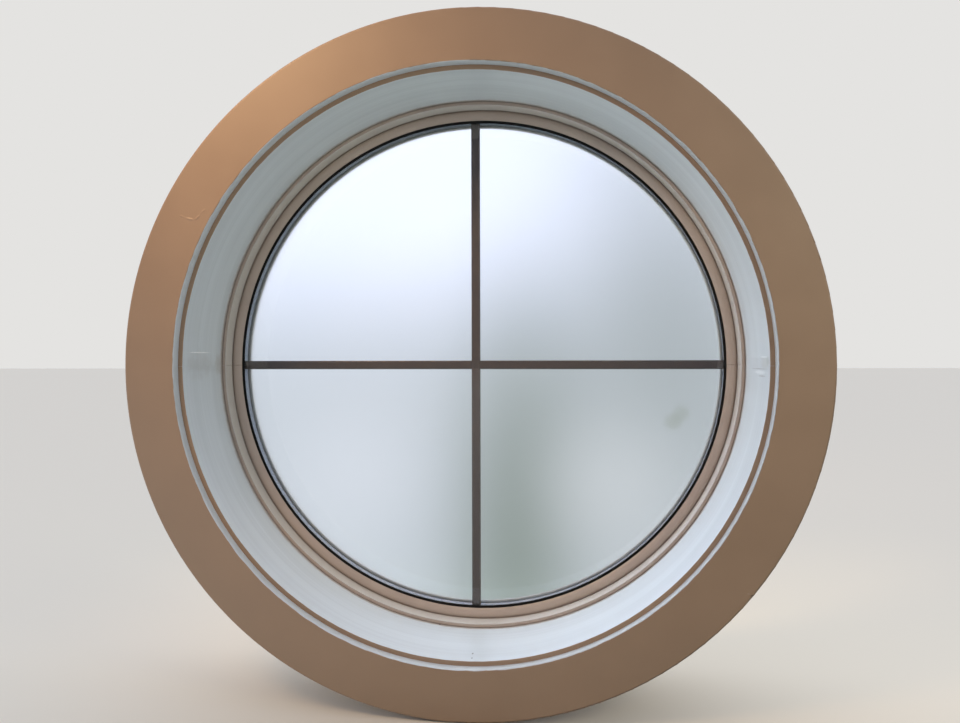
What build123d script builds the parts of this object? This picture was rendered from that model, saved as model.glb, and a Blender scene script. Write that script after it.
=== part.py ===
from build123d import *
import os
from math import cos, degrees, radians, sin

# Round fixed window for a wall, with its frame, jamb liner and flat casing ring.
# Lengths are millimetres. +X is to the right as seen from the room, +Y runs out to
# the weather side and +Z is up. The origin is on the window's axis, in the plane
# where the nailing fin bears on the outside of the wall.
# Every ring is turned about the Y axis from a section drawn as radius against depth.

# Wall and frame sizes
frame_diameter = 902.0
frame_width = 43.0
frame_depth = 82.6
fin_setback = 35.0
wall_thickness = 170.7
vinyl_wall = 2.8
vinyl_web = 1.8
lip_round = 3.2
lip_edge_round = 0.8

# Nailing fin
fin_width = 32.0
fin_thickness = 1.8
fin_hole_count = 24
fin_hole_diameter = 5.0
fin_hole_edge = 13.0

# Receiver channel that holds the jamb liner
receiver_inner_lip = 5.3
receiver_depth = 12.0
receiver_inner_gap = 0.3
receiver_outer_gap = 0.3

# Weather side nose of the frame
nose_reveal = 0.5
nose_slope_run = 10.0
nose_land = 3.0

# Jamb liner
jamb_thickness = 19.0
jamb_arris = 0.8
joint_gap = 0.2

# Casing ring
casing_reveal = 6.4
casing_width = 74.0
casing_thickness = 14.4
casing_outer_round = 3.0
casing_inner_round = 1.5

# Glazed unit
glass_depth_in_frame = 30.0
pane_thickness = 4.0
pane_edge_clearance = 4.0
pane_arris = 0.5
cavity = 14.0

# Spacer between the panes
spacer_reveal = 2.3
spacer_height = 6.5
spacer_wall = 0.4
spacer_corner = 2.0
spacer_butt_gap = 0.6
butyl_thickness = 0.5
butyl_width = 4.0
sealant_inset = 0.6
sealant_width = 5.9
sealant_clearance = 0.1
key_length = 50.0
key_clearance = 0.1
desiccant_clearance = 0.2
desiccant_end_gap = 4.0

# Glazing bead, gasket and tape
gasket_show = 4.0
gasket_height = 1.6
gasket_tail_thickness = 0.8
gasket_tail_width = 9.0
bead_clearance = 0.2
bead_nose = 1.4
bead_height = 4.6
bead_crown_share = 0.45
bead_groove_width = 0.7
bead_groove_depth = 1.6
bead_edge_drop = 0.5
barb_reach = 2.0
barb_thickness = 1.5
barb_lift = 0.6
tape_thickness = 3.0
tape_width = 10.0
tape_inset = 1.8

# Grille between the panes
muntin_width = 14.0
muntin_depth = 7.0
muntin_round = 2.0
muntin_wall = 0.6
lap_clearance = 0.1
clip_foot = 2.5
clip_plug_length = 10.0
clip_plug_clearance = 0.1

# Setting blocks under the glazed unit
bottom_angle = -90.0
block_length = 80.0
block_angle = 30.0

# Drainage on the weather side
weep_angle = 22.0
weep_slot_length = 30.0
weep_slot_width = 5.0
drain_slot_length = 24.0
drain_slot_width = 3.0
drain_slot_edge = 0.4
cover_length = 42.0
cover_width = 12.0
cover_height = 4.5
cover_wall = 1.4
cover_round = 1.5

# Fasteners
screw_count = 8
screw_shank_diameter = 3.4
screw_length = 18.0
screw_point = 3.0
screw_head_diameter = 6.8
screw_head_height = 2.4
screw_hole_clearance = 0.3
screw_pilot_clearance = 0.05
brad_count = 12
brad_diameter = 1.2
brad_length = 38.0
brad_cover = 1.0
brad_pilot_clearance = 0.05
brad_edge = 6.0

# Radii and depths that follow from the sizes above
frame_r = frame_diameter / 2
wall_r = frame_r - frame_width
weather_y = fin_setback
room_y = weather_y - frame_depth
floor_y = room_y + receiver_depth
lip_r = wall_r + receiver_inner_lip
jamb_inner_r = lip_r + receiver_inner_gap
jamb_outer_r = jamb_inner_r + jamb_thickness
outer_lip_r = jamb_outer_r + receiver_outer_gap
outer_lip_back_r = outer_lip_r + vinyl_wall
fin_r = frame_r + fin_width
fin_hole_r = fin_r - fin_hole_edge
web_r = (wall_r + frame_r) / 2
casing_back_y = -wall_thickness
casing_inner_r = jamb_inner_r + casing_reveal
casing_outer_r = casing_inner_r + casing_width
glass_y = room_y + glass_depth_in_frame
cavity_y = glass_y + pane_thickness
cavity_end_y = cavity_y + cavity
cavity_mid_y = cavity_y + cavity / 2
unit_back_y = cavity_end_y + pane_thickness
pocket_y = unit_back_y + tape_thickness
pane_r = wall_r - pane_edge_clearance
spacer_outer_r = pane_r - sealant_inset - sealant_width
spacer_inner_r = spacer_outer_r - spacer_height
sight_r = spacer_inner_r - spacer_reveal
nose_r = sight_r - nose_reveal
nose_face_r = nose_r + nose_slope_run
nose_web_r = wall_r + vinyl_wall - vinyl_web
weep_r = (nose_face_r + vinyl_wall + nose_web_r) / 2
drain_r = wall_r - drain_slot_edge - drain_slot_width / 2
bead_inner_r = sight_r + gasket_show
bead_outer_r = wall_r - bead_clearance
bead_back_y = glass_y - gasket_tail_thickness
barb_back_y = bead_back_y - barb_lift
screw_y = (room_y + floor_y) / 2
brad_r = casing_inner_r + brad_edge
brad_in_casing = casing_thickness - brad_cover
brad_in_jamb = brad_length - brad_in_casing
casing_front_y = casing_back_y - casing_thickness


def section_plane(angle):
    """Plane through the window's axis whose X axis points out at this clock angle."""
    return Plane.XY.rotated((0, -angle, 0))


def radial_plane(angle, radius, depth):
    """Plane square to the radius at this angle, with its Z axis pointing outwards."""
    outwards = Vector(cos(radians(angle)), 0, sin(radians(angle)))
    return Plane(outwards * radius + Vector(0, depth, 0), x_dir=(0, 1, 0), z_dir=outwards)


def cross_plane(depth):
    """Plane square to the window's axis at this depth, facing the room."""
    return Plane.XZ.offset(-depth)


def band(inner_r, outer_r, near_y, far_y, mode=Mode.ADD):
    """Rectangle of a ring's section, from two radii and two depths."""
    with Locations(((inner_r + outer_r) / 2, (near_y + far_y) / 2)):
        Rectangle(outer_r - inner_r, far_y - near_y, mode=mode)


def arc_angle(length, radius):
    """Angle in degrees that an arc of this length takes at this radius."""
    return degrees(length / radius)


# Frame: one bent hollow extrusion in two half rings, with fin, receiver and nose
def frame_section():
    """Chambered section of the vinyl frame."""
    inner_wall_r = wall_r + barb_reach + vinyl_wall
    with BuildSketch() as section:
        with BuildLine():
            Polyline(
                (wall_r, room_y),
                (lip_r, room_y),
                (lip_r, floor_y),
                (outer_lip_r, floor_y),
                (outer_lip_r, room_y),
                (outer_lip_back_r, room_y),
                (outer_lip_back_r, floor_y),
                (frame_r, floor_y),
                (frame_r, weather_y),
                (nose_face_r, weather_y),
                (nose_r, pocket_y + nose_land),
                (nose_r, pocket_y),
                (wall_r, pocket_y),
                close=True,
            )
        make_face()
        wall_corner, lip_corner = section.vertices().group_by(Axis.Y)[0].sort_by(Axis.X)[:2]
        fillet(lip_corner, radius=lip_edge_round)
        fillet(wall_corner, radius=lip_round)
        band(frame_r, fin_r, 0, fin_thickness)
        barb_slot_r = bead_outer_r + barb_reach + bead_clearance
        barb_slot_y = barb_back_y - barb_thickness - bead_clearance
        band(wall_r, barb_slot_r, barb_slot_y, barb_back_y + bead_clearance, Mode.SUBTRACT)
        column_r = web_r - vinyl_web / 2
        room_end_y = floor_y + vinyl_wall
        weather_end_y = weather_y - vinyl_wall
        nose_start_y = pocket_y + vinyl_wall
        band(inner_wall_r, column_r, room_end_y, glass_y, Mode.SUBTRACT)
        band(wall_r + vinyl_wall, column_r, glass_y + vinyl_web, pocket_y, Mode.SUBTRACT)
        band(wall_r + vinyl_wall, column_r, nose_start_y, weather_end_y, Mode.SUBTRACT)
        outer_column_r = web_r + vinyl_web / 2
        band(outer_column_r, frame_r - vinyl_wall, room_end_y, 0, Mode.SUBTRACT)
        band(outer_column_r, frame_r - vinyl_wall, fin_thickness, weather_end_y, Mode.SUBTRACT)
        with BuildLine():
            Polyline(
                (nose_r + vinyl_wall, nose_start_y),
                (nose_web_r, nose_start_y),
                (nose_web_r, weather_end_y),
                (nose_face_r + vinyl_wall, weather_end_y),
                close=True,
            )
        make_face(mode=Mode.SUBTRACT)
    return section.sketch


def screw_angles():
    """Clock angles of the jamb screws, none of them on a joint between half rings."""
    step = 360 / screw_count
    return [step * (index + 0.5) for index in range(screw_count)]


def radial_pins(diameter, outer_r, depth):
    """Cutters for the row of radial screw holes, from a radius inwards."""
    with BuildPart() as pins:
        for angle in screw_angles():
            with BuildSketch(radial_plane(angle, outer_r, screw_y)):
                Circle(diameter / 2)
            extrude(amount=-depth)
    return pins.part


with BuildPart() as frame_ring:
    with BuildSketch(Plane.XY):
        add(frame_section())
    revolve(axis=Axis.Y)
    with BuildSketch(cross_plane(fin_thickness)):
        with PolarLocations(fin_hole_r, fin_hole_count, start_angle=180 / fin_hole_count):
            Circle(fin_hole_diameter / 2)
    extrude(amount=fin_thickness, mode=Mode.SUBTRACT)
    screw_hole_diameter = screw_shank_diameter + screw_hole_clearance
    lip_drill_depth = vinyl_wall + receiver_outer_gap
    add(radial_pins(screw_hole_diameter, outer_lip_back_r, lip_drill_depth), mode=Mode.SUBTRACT)

with BuildPart() as frame_upper:
    add(frame_ring.part)
    split(bisect_by=Plane.XY.offset(joint_gap / 2), keep=Keep.TOP)

with BuildPart() as frame_lower:
    add(frame_ring.part)
    split(bisect_by=Plane.XY.offset(-joint_gap / 2), keep=Keep.BOTTOM)
    for angle in (bottom_angle - weep_angle, bottom_angle + weep_angle):
        with BuildSketch(cross_plane(weather_y)):
            with PolarLocations(weep_r, 1, start_angle=angle):
                SlotOverall(weep_slot_length, weep_slot_width, rotation=90)
        extrude(amount=vinyl_wall, mode=Mode.SUBTRACT)
        with BuildSketch(cross_plane(pocket_y + vinyl_wall)):
            with PolarLocations(drain_r, 1, start_angle=angle):
                SlotOverall(drain_slot_length, drain_slot_width, rotation=90)
        extrude(amount=vinyl_wall, mode=Mode.SUBTRACT)

# Jamb liner: a board bent into two half rings, seated on the receiver's floor
with BuildPart() as jamb_ring:
    with BuildSketch(Plane.XY) as jamb_section:
        band(jamb_inner_r, jamb_outer_r, casing_back_y, floor_y)
        room_corners = jamb_section.vertices().group_by(Axis.Y)[0].sort_by(Axis.X)
        fillet(room_corners[0], radius=jamb_arris)
    revolve(axis=Axis.Y)
    pilot_depth = screw_length - (outer_lip_back_r - jamb_outer_r)
    pilot_diameter = screw_shank_diameter + 2 * screw_pilot_clearance
    add(radial_pins(pilot_diameter, jamb_outer_r, pilot_depth), mode=Mode.SUBTRACT)
    with BuildSketch(cross_plane(casing_back_y)):
        with PolarLocations(brad_r, brad_count, start_angle=180 / brad_count):
            Circle(brad_diameter / 2 + brad_pilot_clearance)
    extrude(amount=-brad_in_jamb, mode=Mode.SUBTRACT)

with BuildPart() as jamb_upper:
    add(jamb_ring.part)
    split(bisect_by=Plane.XY.offset(joint_gap / 2), keep=Keep.TOP)

with BuildPart() as jamb_lower:
    add(jamb_ring.part)
    split(bisect_by=Plane.XY.offset(-joint_gap / 2), keep=Keep.BOTTOM)

# Pan head screws that hold the jamb liner in the receiver, driven from outside
with BuildPart() as jamb_screw:
    with BuildSketch(Plane.XZ):
        with BuildLine():
            Polyline(
                (0, screw_head_height),
                (screw_head_diameter / 2, screw_head_height),
                (screw_head_diameter / 2, 0),
                (screw_shank_diameter / 2, 0),
                (screw_shank_diameter / 2, screw_point - screw_length),
                (0, -screw_length),
                close=True,
            )
        make_face()
    revolve(axis=Axis.Z)
    rim = jamb_screw.edges().filter_by(GeomType.CIRCLE).sort_by(Axis.Z)[-1]
    fillet(rim, radius=screw_head_height / 2)

with BuildPart() as jamb_screws:
    with Locations(*[radial_plane(angle, outer_lip_back_r, screw_y) for angle in screw_angles()]):
        add(jamb_screw.part)

# Casing: one flat ring with eased arrises, nailed to the jamb liner's edge
with BuildPart() as casing_ring:
    with BuildSketch(Plane.XY) as casing_section:
        band(casing_inner_r, casing_outer_r, casing_front_y, casing_back_y)
        front_corners = casing_section.vertices().group_by(Axis.Y)[0].sort_by(Axis.X)
        fillet(front_corners[-1], radius=casing_outer_round)
        front_corners = casing_section.vertices().group_by(Axis.Y)[0].sort_by(Axis.X)
        fillet(front_corners[0], radius=casing_inner_round)
    revolve(axis=Axis.Y)
    with BuildSketch(cross_plane(casing_back_y)):
        with PolarLocations(brad_r, brad_count, start_angle=180 / brad_count):
            Circle(brad_diameter / 2 + brad_pilot_clearance)
    extrude(amount=brad_in_casing, mode=Mode.SUBTRACT)

# Brads, set below the casing's face and filled over
with BuildPart() as casing_brads:
    with BuildSketch(cross_plane(casing_back_y - brad_in_casing)):
        with PolarLocations(brad_r, brad_count, start_angle=180 / brad_count):
            Circle(brad_diameter / 2)
    extrude(amount=-brad_length)

# Glazing bead: two half rings that snap into the frame's wall and hold the gasket
with BuildPart() as bead_ring:
    crown_r = bead_inner_r + bead_crown_share * (bead_outer_r - bead_inner_r)
    crown_y = bead_back_y - bead_height
    edge_y = crown_y + bead_edge_drop
    edge_r = bead_outer_r - bead_groove_width
    barb_near_y = barb_back_y - barb_thickness
    with BuildSketch(Plane.XY):
        with BuildLine():
            ThreePointArc((bead_inner_r, bead_back_y - bead_nose), (crown_r, crown_y), (edge_r, edge_y))
            Polyline(
                (edge_r, edge_y),
                (edge_r, edge_y + bead_groove_depth),
                (bead_outer_r, edge_y + bead_groove_depth),
                (bead_outer_r, barb_near_y),
                (bead_outer_r + barb_reach, barb_near_y),
                (bead_outer_r, barb_back_y),
                (bead_outer_r, bead_back_y),
                (bead_inner_r, bead_back_y),
                (bead_inner_r, bead_back_y - bead_nose),
            )
        make_face()
    revolve(axis=Axis.Y)

with BuildPart() as bead_upper:
    add(bead_ring.part)
    split(bisect_by=Plane.XY.offset(joint_gap / 2), keep=Keep.TOP)

with BuildPart() as bead_lower:
    add(bead_ring.part)
    split(bisect_by=Plane.XY.offset(-joint_gap / 2), keep=Keep.BOTTOM)

# Gasket: a black strip pinched under the bead, with its thick edge showing
with BuildPart() as glazing_gasket:
    with BuildSketch(Plane.XY) as gasket_section:
        band(sight_r, bead_inner_r, glass_y - gasket_height, glass_y)
        lip_corner = gasket_section.vertices().group_by(Axis.Y)[0].sort_by(Axis.X)[0]
        fillet(lip_corner, radius=gasket_height / 2)
        band(bead_inner_r, bead_inner_r + gasket_tail_width, bead_back_y, glass_y)
    revolve(axis=Axis.Y)

# Foam tape that beds the glazed unit against the nose of the frame
with BuildPart() as glazing_tape:
    with BuildSketch(Plane.XY):
        band(nose_r + tape_inset, nose_r + tape_inset + tape_width, unit_back_y, pocket_y)
    revolve(axis=Axis.Y)


# Panes: clear towards the room, frosted on its inner face towards the weather
def pane(near_y):
    """Round pane with seamed edges, from the depth of its room face."""
    with BuildPart() as disc:
        with BuildSketch(cross_plane(near_y)):
            Circle(pane_r)
        extrude(amount=-pane_thickness)
        chamfer(disc.edges(), length=pane_arris)
    return disc.part


inner_pane = pane(glass_y)
outer_pane = pane(cavity_end_y)


# Spacer: a hollow strip rolled to a ring, butted at the bottom over a straight key
def spacer_section(inset):
    """Outline of the spacer's section, drawn in by this much, or grown by a negative one."""
    with BuildSketch() as outline:
        near_y = cavity_y + butyl_thickness
        far_y = cavity_end_y - butyl_thickness
        band(spacer_inner_r, spacer_outer_r, near_y, far_y)
        back_corners = outline.vertices().group_by(Axis.X)[-1]
        chamfer(back_corners, length=spacer_corner)
        if inset != 0:
            offset(amount=-inset, kind=Kind.INTERSECTION, mode=Mode.REPLACE)
    return outline.sketch


def arc_of(section, start_angle, arc):
    """Ring segment of this section, running clockwise from an angle as the room sees it."""
    with BuildPart() as segment:
        with BuildSketch(section_plane(start_angle)):
            add(section)
        revolve(axis=Axis.Y, revolution_arc=arc)
    return segment.part


spacer_gap_angle = arc_angle(spacer_butt_gap, spacer_inner_r)
key_angle = arc_angle(key_length, spacer_inner_r)
desiccant_gap_angle = key_angle + 2 * arc_angle(desiccant_end_gap, spacer_inner_r)
spacer_hollow = spacer_section(spacer_wall)
spacer_bar = arc_of(
    spacer_section(0) - spacer_hollow,
    bottom_angle - spacer_gap_angle / 2,
    360 - spacer_gap_angle,
)
spacer_key = arc_of(
    spacer_section(spacer_wall + key_clearance),
    bottom_angle + key_angle / 2,
    key_angle,
)
desiccant_fill = arc_of(
    spacer_section(spacer_wall + desiccant_clearance),
    bottom_angle - desiccant_gap_angle / 2,
    360 - desiccant_gap_angle,
)

butyl_inner_r = spacer_inner_r + (spacer_height - spacer_corner - butyl_width) / 2
butyl_outer_r = butyl_inner_r + butyl_width

with BuildPart() as butyl_seal_inner:
    with BuildSketch(Plane.XY):
        band(butyl_inner_r, butyl_outer_r, cavity_y, cavity_y + butyl_thickness)
    revolve(axis=Axis.Y)

with BuildPart() as butyl_seal_outer:
    with BuildSketch(Plane.XY):
        band(butyl_inner_r, butyl_outer_r, cavity_end_y - butyl_thickness, cavity_end_y)
    revolve(axis=Axis.Y)

with BuildPart() as edge_sealant:
    with BuildSketch(Plane.XY):
        band(butyl_outer_r, pane_r - sealant_inset, cavity_y, cavity_end_y)
        add(spacer_section(-sealant_clearance), mode=Mode.SUBTRACT)
    revolve(axis=Axis.Y)

# Grille: two hollow flat bars between the panes, half lapped flush where they cross
bar_end_r = spacer_inner_r - clip_foot


def bar_section(plane_width, plane_height):
    """Hollow rounded section of a grille bar."""
    with BuildSketch() as section:
        RectangleRounded(plane_width, plane_height, muntin_round)
        offset(amount=-muntin_wall, mode=Mode.SUBTRACT)
    return section.sketch


with BuildPart() as muntin_vertical:
    with BuildSketch(Plane.XY):
        with Locations((0, cavity_mid_y)):
            add(bar_section(muntin_width, muntin_depth))
    extrude(amount=bar_end_r, both=True)
    with Locations((0, cavity_mid_y + muntin_depth / 2, 0)):
        Box(2 * muntin_width, muntin_depth, muntin_width + 2 * lap_clearance, mode=Mode.SUBTRACT)

with BuildPart() as muntin_horizontal:
    with BuildSketch(Plane.YZ):
        with Locations((cavity_mid_y, 0)):
            add(bar_section(muntin_depth, muntin_width))
    extrude(amount=bar_end_r, both=True)
    with Locations((0, cavity_mid_y - muntin_depth / 2, 0)):
        Box(muntin_width + 2 * lap_clearance, muntin_depth, 2 * muntin_width, mode=Mode.SUBTRACT)


def end_clip(angle):
    """Moulded clip plugged into a bar's end, its foot curved to the spacer."""
    seat = radial_plane(angle, bar_end_r, cavity_mid_y)
    plug_inset = muntin_wall + clip_plug_clearance
    with BuildPart() as clip:
        with BuildSketch(seat):
            RectangleRounded(muntin_depth, muntin_width, muntin_round)
        extrude(amount=2 * clip_foot)
        with BuildSketch(cross_plane(cavity_end_y)):
            Circle(spacer_inner_r)
        extrude(amount=cavity, mode=Mode.INTERSECT)
        with BuildSketch(seat):
            RectangleRounded(
                muntin_depth - 2 * plug_inset,
                muntin_width - 2 * plug_inset,
                muntin_round - plug_inset,
            )
        extrude(amount=-clip_plug_length)
    return clip.part


# Setting blocks that carry the glazed unit on the frame's wall
def setting_block(angle):
    """Block between the unit's edge and the frame, centred at this angle."""
    with BuildSketch() as section:
        band(pane_r, wall_r, glass_y, pocket_y)
    block_arc = arc_angle(block_length, wall_r)
    return arc_of(section.sketch, angle + block_arc / 2, block_arc)


# Weep covers on the weather face, open towards the sill
def weep_cover(angle):
    """Hood over a weep slot, seated on the weather face at this angle."""
    outwards = Vector(cos(radians(angle)), 0, sin(radians(angle)))
    along = Vector(-sin(radians(angle)), 0, cos(radians(angle)))
    seat = Plane(outwards * weep_r + Vector(0, weather_y, 0), x_dir=along, z_dir=(0, 1, 0))
    with BuildPart() as cover:
        with BuildSketch(seat):
            Rectangle(cover_length, cover_width)
        extrude(amount=cover_height)
        hood_edges = cover.faces().sort_by(Axis.Y)[-1].edges()
        fillet(hood_edges, radius=cover_round)
        with BuildSketch(seat):
            with Locations((0, cover_wall)):
                Rectangle(cover_length - 2 * cover_wall, cover_width)
        extrude(amount=cover_height - cover_wall, mode=Mode.SUBTRACT)
    return cover.part


# Names and files of the finished pieces
pieces = {
    "casing_ring": casing_ring.part,
    "casing_brads": casing_brads.part,
    "jamb_upper": jamb_upper.part,
    "jamb_lower": jamb_lower.part,
    "jamb_screws": jamb_screws.part,
    "frame_upper": frame_upper.part,
    "frame_lower": frame_lower.part,
    "bead_upper": bead_upper.part,
    "bead_lower": bead_lower.part,
    "glazing_gasket": glazing_gasket.part,
    "glazing_tape": glazing_tape.part,
    "inner_pane": inner_pane,
    "outer_pane": outer_pane,
    "spacer_bar": spacer_bar,
    "spacer_key": spacer_key,
    "desiccant_fill": desiccant_fill,
    "butyl_seal_inner": butyl_seal_inner.part,
    "butyl_seal_outer": butyl_seal_outer.part,
    "edge_sealant": edge_sealant.part,
    "muntin_vertical": muntin_vertical.part,
    "muntin_horizontal": muntin_horizontal.part,
    "muntin_clip_right": end_clip(0),
    "muntin_clip_top": end_clip(90),
    "muntin_clip_left": end_clip(180),
    "muntin_clip_bottom": end_clip(bottom_angle),
    "setting_block_left": setting_block(bottom_angle - block_angle),
    "setting_block_right": setting_block(bottom_angle + block_angle),
    "weep_cover_left": weep_cover(bottom_angle - weep_angle),
    "weep_cover_right": weep_cover(bottom_angle + weep_angle),
}

os.makedirs("parts", exist_ok=True)
for name, piece in pieces.items():
    piece.label = name
    export_step(piece, f"parts/{name}.step")
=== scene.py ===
"""Looks of a round fixed window with its frame, jamb liner and casing.

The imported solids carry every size. This script dresses them in procedural finishes, adds
the small forms that the solids leave out, and sets up the camera, the floor and the light.
Lengths are millimetres until they are given to Blender, which takes metres.
"""

import logging
import math
from dataclasses import dataclass, field
from enum import Enum
from typing import Any

import bmesh
import bpy
from mathutils import Matrix, Vector, noise


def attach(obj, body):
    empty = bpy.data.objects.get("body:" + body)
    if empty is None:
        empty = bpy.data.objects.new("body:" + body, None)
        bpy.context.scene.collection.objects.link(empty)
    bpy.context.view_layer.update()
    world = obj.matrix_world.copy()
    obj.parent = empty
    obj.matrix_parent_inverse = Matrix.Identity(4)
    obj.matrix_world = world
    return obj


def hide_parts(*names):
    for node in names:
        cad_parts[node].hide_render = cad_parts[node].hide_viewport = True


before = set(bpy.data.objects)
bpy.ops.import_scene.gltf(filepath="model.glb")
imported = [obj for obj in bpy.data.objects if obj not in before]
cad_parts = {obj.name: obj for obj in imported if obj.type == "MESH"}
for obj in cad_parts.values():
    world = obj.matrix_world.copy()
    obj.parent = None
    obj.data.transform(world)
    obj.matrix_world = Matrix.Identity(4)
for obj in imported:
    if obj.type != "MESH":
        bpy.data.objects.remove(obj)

LOG = logging.getLogger("window")
MM = 0.001
BODY = "root"
NOISE_SPAN = (0.3, 0.7)  # nearly all values of a noise texture lie between these two
PHOTO_WIDTH = 960
SENSOR_WIDTH = 36.0
Tree = bpy.types.NodeTree
Node = bpy.types.Node
Source = Node | bpy.types.NodeSocket  # a node stands for its first output in use
Palette = dict[str, bpy.types.Material]


def linear(colour: str) -> tuple[float, float, float, float]:
    """Turns an sRGB hex colour into Blender's linear one.

    Args:
        colour: six hex digits after a hash, such as "#c8b8a4".

    Returns:
        Red, green, blue and an alpha of 1.
    """
    parts = [int(colour[start:start + 2], 16) / 255 for start in (1, 3, 5)]
    bent = [p / 12.92 if p <= 0.04045 else ((p + 0.055) / 1.055) ** 2.4 for p in parts]
    return (*bent, 1.0)


def add_node(
    tree: Tree, kind: str, inputs: dict[int | str, Any] | None = None, **settings: Any
) -> Node:
    """Adds one node with its settings, and fills or links its inputs.

    Args:
        tree: node tree of a material or of the world.
        kind: Blender's name for the node, such as "ShaderNodeMath".
        inputs: for each input, by its name or number, a value, a socket, or a node, which
            stands for its first output in use.
        settings: properties of the node itself, such as its operation.

    Returns:
        The new node.
    """
    node = tree.nodes.new(kind)
    for name, value in settings.items():
        setattr(node, name, value)
    for key, value in (inputs or {}).items():
        if isinstance(value, Node):
            value = next(output for output in value.outputs if output.enabled)
        if isinstance(value, bpy.types.NodeSocket):
            tree.links.new(value, node.inputs[key])
        else:
            node.inputs[key].default_value = value
    return node


@dataclass(frozen=True)
class RingPlace:
    """Where a point lies on a ring, in metres."""

    point: Source
    radius: Source
    along: Source
    depth: Source


def ring_place(tree: Tree, mean_radius_mm: float) -> RingPlace:
    """Adds the nodes that read a point's radius, way round the ring and depth.

    Args:
        tree: node tree of the material.
        mean_radius_mm: radius at which the way round the ring is measured.

    Returns:
        The sources that hold them.
    """
    point = add_node(tree, "ShaderNodeTexCoord").outputs["Object"]
    x, y, z = add_node(tree, "ShaderNodeSeparateXYZ", {"Vector": point}).outputs
    flat = add_node(tree, "ShaderNodeCombineXYZ", {"X": x, "Y": z})
    radius = add_node(tree, "ShaderNodeVectorMath", {0: flat}, operation="LENGTH")
    angle = add_node(tree, "ShaderNodeMath", {0: z, 1: x}, operation="ARCTAN2")
    mean = mean_radius_mm * MM
    along = add_node(tree, "ShaderNodeMath", {0: angle, 1: mean}, operation="MULTIPLY")
    return RingPlace(point, radius, along, y)


def stretched(tree: Tree, place: RingPlace, along_mm: float, across_mm: float) -> Node:
    """Adds ring coordinates whose unit is one grain of a pattern drawn out along the ring.

    Args:
        tree: node tree of the material.
        place: where the point lies on the ring.
        along_mm: length of one grain along the ring.
        across_mm: width of one grain across it.

    Returns:
        The vector for a noise texture of scale 1.
    """
    raw = add_node(
        tree, "ShaderNodeCombineXYZ", {"X": place.along, "Y": place.depth, "Z": place.radius}
    )
    grain = (1 / (along_mm * MM), 1 / (across_mm * MM), 1 / (across_mm * MM))
    return add_node(tree, "ShaderNodeVectorMath", {0: raw, 1: grain}, operation="MULTIPLY")


def away_from(tree: Tree, point: Source, middle: Any, stretch: Any) -> Node:
    """Adds how far a point lies from a middle, measured with its own unit along each axis.

    Args:
        tree: node tree of the material or the world.
        point: the point.
        middle: where the distance is 0.
        stretch: what each axis is multiplied by, where 0 leaves the axis out.

    Returns:
        The distance.
    """
    shifted = add_node(tree, "ShaderNodeVectorMath", {0: point, 1: middle}, operation="SUBTRACT")
    scaled = add_node(tree, "ShaderNodeVectorMath", {0: shifted, 1: stretch}, operation="MULTIPLY")
    return add_node(tree, "ShaderNodeVectorMath", {0: scaled}, operation="LENGTH")


def laid_over(
    tree: Tree, under: Any, over: Any, *edges: tuple[Source, float, float], most: Any = 1.0
) -> Node:
    """Adds one colour laid over another where every one of some values is past its edge.

    Args:
        tree: node tree of the material or the world.
        under: the colour beneath, or its source.
        over: the colour on top, or its source.
        edges: for each edge the value, where it shows nothing of the colour on top, and where
            it shows all, with a smooth change between the two.
        most: the share of the colour on top where it shows all, or that share's source.

    Returns:
        The colour that shows.
    """
    share = most
    for value, nothing, full in edges:
        past = add_node(
            tree, "ShaderNodeMapRange", {0: value, 1: nothing, 2: full},
            interpolation_type="SMOOTHSTEP",
        )
        share = add_node(tree, "ShaderNodeMath", {0: past, 1: share}, operation="MULTIPLY")
    return add_node(tree, "ShaderNodeMix", {0: share, 6: under, 7: over}, data_type="RGBA")


@dataclass(frozen=True)
class Mark:
    """A soft spot of another tone: its middle, its half lengths along X, Y and Z, and its tone.

    Its outline is broken up by a fine noise, as a smudge of dust or filler is.
    """

    middle_mm: tuple[float, float, float]
    reach_mm: tuple[float, float, float]
    colour: str
    strength: float
    ragged: float = 0.8
    ragged_mm: float = 7.0
    fade: tuple[float, float] = (0.3, 1.0)

    def over(self, tree: Tree, point: Source, under: Any) -> Node:
        """Adds the nodes that lay the mark over a colour.

        Args:
            tree: node tree of the material.
            point: the object coordinates, in metres.
            under: the colour beneath, or its source.

        Returns:
            The colour with the mark on it.
        """
        middle = tuple(part * MM for part in self.middle_mm)
        stretch = tuple(1 / (part * MM) for part in self.reach_mm)
        away = away_from(tree, point, middle, stretch)
        rough = add_node(
            tree, "ShaderNodeTexNoise",
            {"Vector": point, "Scale": 1 / (self.ragged_mm * MM), "Detail": 3.0},
        )
        broken = add_node(
            tree, "ShaderNodeMath", {0: rough, 1: self.ragged, 2: away}, operation="MULTIPLY_ADD"
        )
        full, nothing = (end + self.ragged / 2 for end in self.fade)
        edge = (broken, nothing, full)
        return laid_over(tree, under, linear(self.colour), edge, most=self.strength)


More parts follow.
